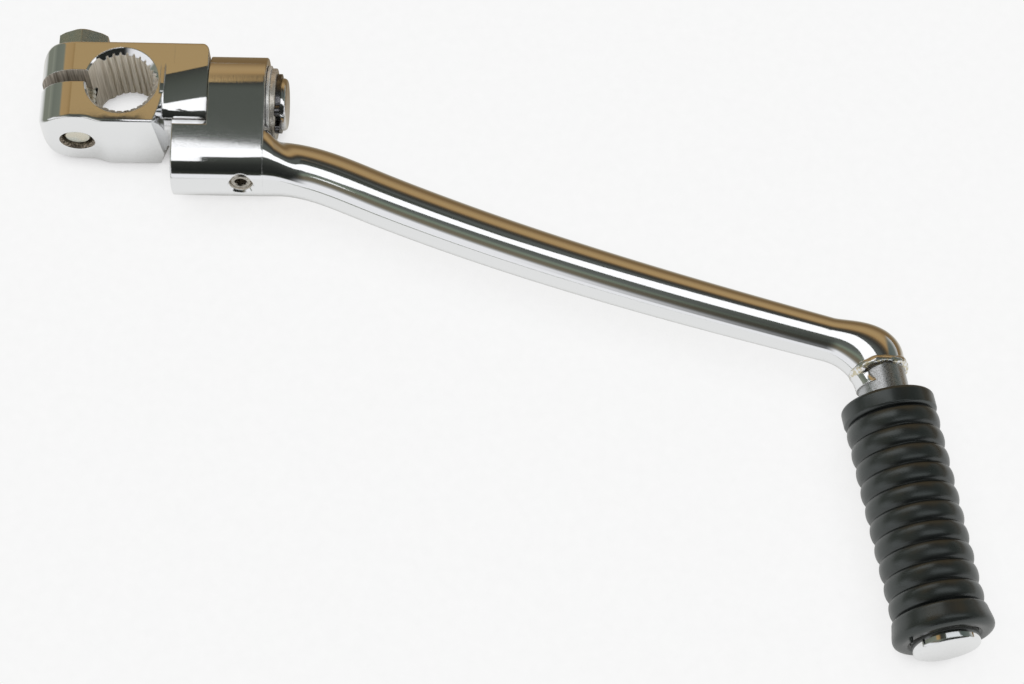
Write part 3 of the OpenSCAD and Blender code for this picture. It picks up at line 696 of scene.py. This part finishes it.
# The elbow turns about its inner fillet and swells a little outside the bend.
bar_end_r, toe_r, toe_flat, bulge = bar_end_d / 2, 7.0, 0.8, 4.3
turn = -elbow_slope - peg_heading
for k in range(1, 41):
    t = k / 40
    way = -elbow_slope - turn * t
    bulk = bulge * math.sin(math.pi * t ** 1.3) ** 1.2 if t < 1 else 0.0
    reach = (1 - t) * (2 * bar_end_r + elbow_fillet) + t * (2 * toe_r + elbow_fillet - 2.2) + bulk
    out = Vector((-math.sin(way), math.cos(way), 0))
    rings.append(oval_ring(fillet_mid + out * (elbow_fillet + reach) / 2, way,
                           (reach - elbow_fillet) / 2,
                           bar_end_r + (toe_r - toe_flat - bar_end_r) * smooth(t * 1.4)))
arm = loft("arm_forging", rings)


def hub_outline(inset, lobe_inset):
    """Side view of the hub: the round end and the lobe joined by their tangents."""
    lift = math.degrees(math.asin((hub_r - lobe_r) / lobe_drop))
    return (arc(0, 0, hub_r - inset, -90 - lift, 90 + lift, 96)
            + arc(-lobe_drop, 0, lobe_r - lobe_inset, 90 + lift, 270 - lift, 64))


edge_r = 0.45
edge = arc(edge_r, edge_r, edge_r, 270, 180, 4)
rings = [[(hub_start + deep, y, z) for y, z in hub_outline(inset, inset)] for inset, deep in edge]
rings += [[(hub_end - deep, y, z) for y, z in hub_outline(inset, 0.0)]
          for inset, deep in reversed(edge)]
carve(arm, loft("hub", rings), "UNION")
bearing_r, washer_room_r = journal_r + 0.04, 10.7
carve(arm, turned("journal_bore", pivot, along_pivot,
                  [(bearing_r, hub_start - 1), (bearing_r, hub_end + 1)], sides=128))
carve(arm, turned("spot_face", pivot, along_pivot,
                  [(washer_room_r, hub_end), (washer_room_r, stub_end + 3)], sides=128))
# The notch ends where the tongue stops the arm, folded and open.
carve(arm, drawn("notch", "X", (hub_start - 1, tongue_end + 0.3),
                 [(0, 0)] + [polar(24, a) for a in (-68.4, -30, 10, 50, 90, 138.4)]))
# The detent bore takes the ball and spring, and the screw that closes it.
plug_o = Vector((detent_x, 0, 0))
plug_u = Vector((0, *polar(1, 180 - detent_lean)))
plug_in, plug_out, ball_bore_r, plug_bore_r = 19.3, 25.3, 3.06, 3.05
carve(arm, turned("detent_bore", plug_o, plug_u, [
    (ball_bore_r, 2), (ball_bore_r, plug_in - 1), (plug_bore_r, plug_in - 1),
    (plug_bore_r, plug_out + 0.25), (plug_bore_r + 1.1, plug_out + 1.35),
    (plug_bore_r + 1.1, 30)], sides=64))
spigot_r, neck_r, toe_face = 4.5, 6.5, 5.2
carve(arm, turned("peg_socket", corner, peg_u, [
    (spigot_r, -3), (spigot_r, toe_face), (neck_r, toe_face), (neck_r, 30)], sides=96))
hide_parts("kick_arm")
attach(arm, "arm")

# Ground chrome: the belt ran over the hub's flat at 28 degrees, and its lines
# under the plate draw the reflections there into soft streaks.
ground = plated("ground_chrome", dull=0.07, scratch=0.35, lean=(0, 0, math.radians(-28)))
coat(arm, chrome, ground, broached)
for poly in arm.data.polygons:
    x, y, z = poly.center * 1000
    from_detent = poly.center * 1000 - plug_o
    from_detent -= plug_u * from_detent.dot(plug_u)
    poly.material_index = 0
    if x < hub_end - 0.3 and abs(poly.normal.z) > 0.9 and -lobe_drop < y < 2 and abs(z) > 9:
        poly.material_index = 1
    elif from_detent.length < 3.1 and y < -12:
        poly.material_index = 2
shade(arm)


# Weld. One bead of weld joins the elbow to the peg; the plate over it is
# lumpy, with a dull yellowish strip where the polish could not reach.
def lumps(a, s):
    """Height of the bead's ripples at an angle round the peg."""
    return (0.2 * math.sin(2 * a + 0.7) + 0.12 * math.sin(5 * a + 2.1 + s)
            + 0.05 * math.sin(11 * a - 1.3 * s))


up = Vector((0, 0, 1))
across = peg_u.cross(up).normalized()
bead_r, bead_ring_r, bead_at = 1.45, 6.3, 5.3
rings = []
for a in full_turn(180):
    out = across * math.cos(a) + up * math.sin(a)
    at = bead_at + 0.25 * math.sin(2 * a + 1)
    ring = []
    for b in full_turn(20):
        size = bead_r * (1 + lumps(a, b))
        ring.append(corner + peg_u * (at + size * math.sin(b))
                    + out * (bead_ring_r + size * 0.95 * math.cos(b)))
    rings.append(ring)
weld = loft("weld_bead", rings, wrap=True)
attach(weld, "arm")

# Plate over weld: bright on the ripples and dull in the spatter between them,
# which is 0.5 to 1 mm across.
mat, tree = new_material("plated_weld")
spot = add(tree, "ShaderNodeTexCoord").outputs["Object"]
spatter = add(tree, "ShaderNodeTexNoise", Vector=spot, Scale=1100.0, Detail=3.0)
tint = add(tree, "ShaderNodeValToRGB", {"stops": ((0.42, "#cfc7ac"), (0.55, "#e9eaec"))},
           Fac=spatter)
rough = add(tree, "ShaderNodeMapRange", Value=spatter, From_Min=0.35, From_Max=0.65,
            To_Min=0.34, To_Max=0.08)
relief = add(tree, "ShaderNodeBump", Height=spatter, Strength=0.45, Distance=0.0002)
metal = add(tree, "ShaderNodeBsdfPrincipled", Base_Color=tint, Metallic=1.0,
            Roughness=rough, Normal=relief)
add(tree, "ShaderNodeOutputMaterial", Surface=metal)
coat(weld, mat)
shade(weld, 60)


# Foot peg. A turned steel pin: satin neck beside the weld, thinner pin inside
# the rubber, and a bright disc head that keeps the rubber on.
rubber_start, rubber_long, pin_r, disc_r, disc_round = 14.4, 64.4, 5.9, 8.6, 0.9
rubber_end = rubber_start + rubber_long
peg_end = rubber_end + 2.8
seat_at = peg_end - 4.3
profile = [
    (spigot_r - 0.05, -2.9), (spigot_r - 0.05, toe_face + 0.05), (neck_r, toe_face + 0.05),
    (neck_r, 9.0), (neck_r, rubber_start - 0.3), (neck_r - 0.3, rubber_start),
    (pin_r, rubber_start), (pin_r, seat_at + 0.02), (disc_r - 0.1, seat_at + 0.02),
    (disc_r - 0.02, seat_at + 0.3)]
profile += arc(disc_r - 0.02 - disc_round, peg_end - disc_round, disc_round, 0, 90, 8)
profile += [(4.0, peg_end), (1.0, peg_end)]
peg = turned("turned_peg", corner, peg_u, profile, sides=128)
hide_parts("foot_peg")
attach(peg, "arm")
# Satin chrome: the neck was plated as turned, without a polish, and looks grey.
satin = plated("satin_chrome", dull=0.3, rounding=0.0003, tint="#b4b6b8")
coat(peg, chrome, satin)
for poly in peg.data.polygons:
    on_neck = (poly.center * 1000 - corner).dot(peg_u) < rubber_start + 1
    poly.material_index = 1 if on_neck else 0
shade(peg)


# Rubber sleeve. Moulded black rubber pushed over the pin: a plain collar, ten
# rounded ribs and a thick collar that swells towards its rounded end, with
# the nib of the mould's gate on the end face.
near_collar, end_collar, ribs, valley_r, rib_r, collar_r = 5.2, 7.0, 10, 10.35, 11.98, 12.95
rib_pitch = (rubber_long - near_collar - end_collar) / ribs
profile = [(pin_r + 0.05, 0.3), (10.4, 0.05)] + arc(10.9, 1.25, 1.18, -80, 0, 6)
profile += [(12.08, near_collar - 0.9), (11.9, near_collar - 0.45), (11.3, near_collar - 0.1)]
for i in range(ribs):
    for k in range(17):
        t = k / 16
        crest = math.sqrt(max(0.0, 1 - ((t - 0.5) * 1.9) ** 2))
        profile.append((valley_r + (rib_r - valley_r) * crest ** 0.8,
                        near_collar + (i + t * 0.98 + 0.01) * rib_pitch))
swell = [(11.2, 0.15), (11.95, 0.5), (12.15, 0.9), (12.3, 1.6), (12.5, 2.6), (12.75, 3.6),
         (12.9, 4.4), (collar_r, 5.0), (12.9, 5.5), (12.7, 6.0), (12.35, 6.4), (11.9, 6.72),
         (11.4, 6.92), (10.9, 6.98), (9.7, 6.98), (9.35, 6.8), (9.1, 6.4), (8.7, 6.3),
         (8.62, 5.4), (pin_r + 0.05, 5.4)]
profile += [(r, rubber_long - end_collar + s) for r, s in swell]
sleeve = turned("rubber_sleeve", corner + peg_u * rubber_start, peg_u, profile,
                sides=160, hollow=True)
gate_r, gate_turn = 11.2, 32
u, v = polar(gate_r, gate_turn)
nib_at = corner + peg_u * (rubber_end - 0.6) + across * u + up * v
nib = turned("nib", nib_at, peg_u, [(0.6, -0.8), (0.55, 0.9), (0.4, 1.6), (0.2, 1.8)], sides=16)
carve(sleeve, nib, "UNION")
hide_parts("peg_rubber")
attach(sleeve, "arm")

mat, tree = new_material("moulded_rubber")
spot = add(tree, "ShaderNodeTexCoord").outputs["Object"]
# Skin of the mould: a grain of about 0.4 mm under faint smears some 6 mm long.
grain = add(tree, "ShaderNodeTexNoise", Vector=spot, Scale=2400.0, Detail=2.0)
smear = add(tree, "ShaderNodeTexNoise", Vector=spot, Scale=170.0, Detail=3.0)
# Painted highlight and shade: the crests are painted grey for their
# highlight, and the valleys between the ribs black for their shade. So the
# tone follows the distance from the line of the peg.
off = add(tree, "ShaderNodeVectorMath", {"operation": "SUBTRACT"}, i0=spot, i1=corner / 1000)
line = add(tree, "ShaderNodeVectorMath", {"operation": "DOT_PRODUCT"}, i0=off, i1=peg_u)
line = add(tree, "ShaderNodeVectorMath", {"operation": "SCALE"}, i0=peg_u, i3=line)
off = add(tree, "ShaderNodeVectorMath", {"operation": "DISTANCE"}, i0=off, i1=line)
rib_highlight_and_shade = add(tree, "ShaderNodeMapRange", Value=off,
           From_Min=(valley_r - 0.05) / 1000, From_Max=(rib_r + 0.12) / 1000)
rib_highlight_and_shade = add(tree, "ShaderNodeMath", {"operation": "MULTIPLY_ADD"}, i0=smear, i1=0.3, i2=rib_highlight_and_shade)
# Painted highlight on the crests and painted shade in the valleys.
tone = add(tree, "ShaderNodeValToRGB", {"stops": (
    (0.2, "#060707"), (0.8, "#0d0f0f"), (1.0, "#191c1b"))}, Fac=rib_highlight_and_shade)
rough = add(tree, "ShaderNodeMapRange", Value=smear, From_Min=0.3, From_Max=0.7,
            To_Min=0.27, To_Max=0.36)
skin = add(tree, "ShaderNodeBump", Height=grain, Strength=0.25, Distance=0.00005)
rubber = add(tree, "ShaderNodeBsdfPrincipled", Base_Color=tone, Roughness=rough, IOR=1.52,
             Specular_IOR_Level=0.9, Specular_Tint=linear("#e9f1f0"), Normal=skin)
add(tree, "ShaderNodeOutputMaterial", Surface=rubber)
coat(sleeve, mat)
shade(sleeve, 50)


# Washers and circlip. A bright shim, a plain thrust washer and a dark spring
# steel circlip hold the hub on its journal.
def ring_piece(name, node, x0, thick, inner, outer, mat, ease):
    """A stamped ring with eased edges, on the pivot."""
    x1, side_r = x0 + thick, outer - ease
    profile = [(inner, x0 + ease / 2), (inner, x1 - ease / 2), (inner + ease / 2, x1)]
    profile += arc(side_r, x1 - ease, ease, 90, 0, 4) + arc(side_r, x0 + ease, ease, 0, -90, 4)
    profile += [(inner + ease / 2, x0)]
    piece = turned(name, pivot, along_pivot, profile, sides=128, hollow=True)
    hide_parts(node)
    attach(piece, "boss")
    coat(piece, mat)
    shade(piece)


# The shim is rolled and bright, the washer stamped and duller, both with fine
# lines; phosphate turns the circlip a dark satin grey.
ring_piece("bright_shim", "shim_washer", shim_x, 0.9, 7.1, 10.3,
           bare("shim_steel", "#f0f0ee", "#d8d8d4", 0.3, (0.2, 1, 1), 0.3, 0.6), 0.2)
ring_piece("plain_washer", "thrust_washer", washer_x, 1.45, 7.1, 9.6,
           bare("washer_steel", "#dedad2", "#b8b2a8", 0.3, (0.2, 1, 1), 0.3, 0.7), 0.3)
dress("circlip", bare("phosphated_spring_steel", "#7c7c7e", "#56565a", 0.24, (1, 1, 1), 0.5))


# Detent. A ball pressed by a coil spring clicks into two pockets of the
# journal; a socket set screw closes the bore. The ball is hardened and
# polished, the spring drawn wire, and the screw plain steel with a dull grain.
dress("detent_ball", bare("ball_steel", "#dcdcde", "#cfcfd2", 0.08, (1, 1, 1), 1.0))
dress("detent_spring", bare("spring_wire", "#a2a2a4", "#848486", 0.28, (1, 1, 1), 0.3))
profile = [(3.02, plug_in + 0.1), (3.02, plug_out - 0.5), (2.6, plug_out - 0.08),
           (2.45, plug_out), (1.9, plug_out)]
plug = turned("socket_screw", plug_o, plug_u, profile, sides=96)
socket_r = 1.73
carve(plug, turned("socket", plug_o, plug_u, [(socket_r, plug_out - 3), (socket_r, plug_out + 1)],
                   sides=6, start=math.radians(12)))
carve(plug, turned("socket_mouth", plug_o, plug_u, [(1.4, plug_out - 0.4), (2.2, plug_out + 0.4)],
                   sides=48))
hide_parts("detent_plug")
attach(plug, "arm")
coat(plug, bare("screw_steel", "#c4c0b8", "#8c877e", 0.26, (1, 1, 1), 0.4))
shade(plug)
